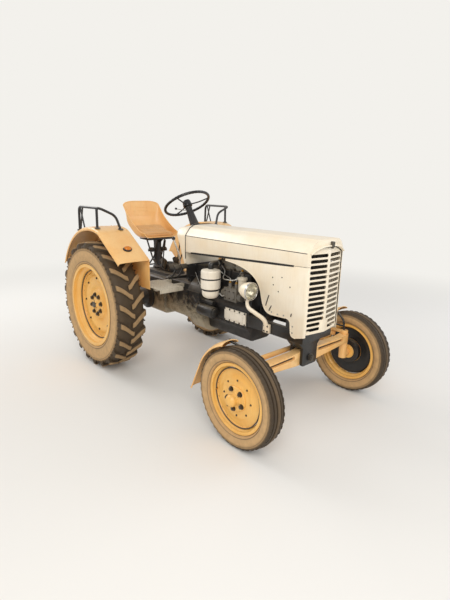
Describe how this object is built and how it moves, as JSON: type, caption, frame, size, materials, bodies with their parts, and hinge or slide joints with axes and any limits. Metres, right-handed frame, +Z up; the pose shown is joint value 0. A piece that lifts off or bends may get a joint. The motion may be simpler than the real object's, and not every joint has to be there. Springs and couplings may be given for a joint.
{
  "type": "light row-crop tractor",
  "caption": "Light farm tractor with a V-fronted slotted grille, open-sided engine, lugged rear tyres, ribbed front tyres, arched fenders with rails and a sheet seat.",
  "frame": {"origin": "on the floor, midway between the front of the front tyres and the rear of the rear tyres, on the centre plane", "axes": "+Z up; -Y the way the tractor faces; +X its left-hand side"},
  "size_m": [1.738, 2.9618, 1.7507],
  "materials": {
    "cream_paint": "satin cream enamel on pressed sheet",
    "orange_paint": "satin light orange enamel",
    "black_paint": "semi-gloss black chassis enamel",
    "cast_iron": "sand-cast iron, painted dark",
    "grey_paint": "grey machinery enamel",
    "tyre_rubber": "matt black rubber",
    "black_rubber": "moulded hose and belt rubber",
    "grip_plastic": "black moulded rim",
    "seat_hide": "tan leathercloth",
    "lamp_glass": "clear ribbed lens"
  },
  "bodies": {
    "chassis": {"hood_top": "cream_paint", "hood_side_right": "cream_paint", "hood_side_left": "cream_paint", "grille": "cream_paint", "cowl": "cream_paint", "headlamp_right": "cream_paint", "headlamp_left": "cream_paint", "front_axle": "orange_paint", "fender_right": "orange_paint", "fender_left": "orange_paint", "front_frame": "black_paint", "starter_motor": "black_paint", "dynamo": "black_paint", "radiator": "black_paint", "fan": "black_paint", "crank_pulley": "black_paint", "fuel_tank": "black_paint", "steering_column": "black_paint", "fender_rail_right": "black_paint", "fender_rail_left": "black_paint", "footplate_right": "black_paint", "footplate_left": "black_paint", "seat": "black_paint", "seat_support": "black_paint", "gear_levers": "black_paint", "brake_pedals": "black_paint", "clutch_pedal": "black_paint", "drawbar": "black_paint", "engine_block": "cast_iron", "oil_sump": "cast_iron", "cylinder_head": "cast_iron", "transmission": "cast_iron", "steering_box": "cast_iron", "axle_housing_right": "cast_iron", "axle_housing_left": "cast_iron", "rocker_covers": "grey_paint", "air_cleaner": "grey_paint", "injection_pump": "grey_paint", "fuel_filter": "grey_paint", "side_cover": "grey_paint", "exhaust": "grey_paint", "fan_belt": "black_rubber", "coolant_hose": "black_rubber", "seat_cushion": "seat_hide", "headlamp_glass_right": "lamp_glass", "headlamp_glass_left": "lamp_glass"},
    "knuckle_right": {"knuckle_right": "black_paint", "front_mudguard_right": "orange_paint"},
    "front_wheel_right": {"front_tyre_right": "tyre_rubber", "front_rim_right": "orange_paint"},
    "rear_wheel_right": {"rear_tyre_right": "tyre_rubber", "rear_rim_right": "orange_paint"},
    "knuckle_left": {"knuckle_left": "black_paint", "front_mudguard_left": "orange_paint"},
    "front_wheel_left": {"front_tyre_left": "tyre_rubber", "front_rim_left": "orange_paint"},
    "rear_wheel_left": {"rear_tyre_left": "tyre_rubber", "rear_rim_left": "orange_paint"},
    "tie_rod": {"tie_rod": "grey_paint"},
    "steering_wheel": {"steering_wheel": "grip_plastic"}
  },
  "joints": [
    {"name": "steer_right", "type": "hinge", "parent": "chassis", "child": "knuckle_right", "pos_m": [-0.585, -1.115, 0.5], "axis": [0, 0, 1], "range_deg": [-35, 35]},
    {"name": "steer_left", "type": "hinge", "parent": "chassis", "child": "knuckle_left", "pos_m": [0.585, -1.115, 0.5], "axis": [0, 0, 1], "range_deg": [-35, 35]},
    {"name": "tie_rod_pivot", "type": "hinge", "parent": "knuckle_right", "child": "tie_rod", "pos_m": [-0.585, -1.001, 0.53], "axis": [0, 0, 1], "range_deg": [-35, 35]},
    {"name": "steering_wheel_turn", "type": "hinge", "parent": "chassis", "child": "steering_wheel", "pos_m": [0, 0.4, 1.618], "axis": [0, 0.5299, 0.848], "range_deg": [-420, 420]},
    {"name": "front_wheel_right_roll", "type": "hinge", "parent": "knuckle_right", "child": "front_wheel_right", "pos_m": [-0.7, -1.115, 0.366], "axis": [1, 0, 0], "continuous": true},
    {"name": "rear_wheel_right_roll", "type": "hinge", "parent": "chassis", "child": "rear_wheel_right", "pos_m": [-0.727, 0.855, 0.626], "axis": [1, 0, 0], "continuous": true},
    {"name": "front_wheel_left_roll", "type": "hinge", "parent": "knuckle_left", "child": "front_wheel_left", "pos_m": [0.7, -1.115, 0.366], "axis": [1, 0, 0], "continuous": true},
    {"name": "rear_wheel_left_roll", "type": "hinge", "parent": "chassis", "child": "rear_wheel_left", "pos_m": [0.727, 0.855, 0.626], "axis": [1, 0, 0], "continuous": true}
  ],
  "couplings": [
    {"joint": "steer_left", "follows": "steer_right", "ratio": 1},
    {"joint": "tie_rod_pivot", "follows": "steer_right", "ratio": -1},
    {"joint": "steering_wheel_turn", "follows": "steer_right", "ratio": 12}
  ]
}
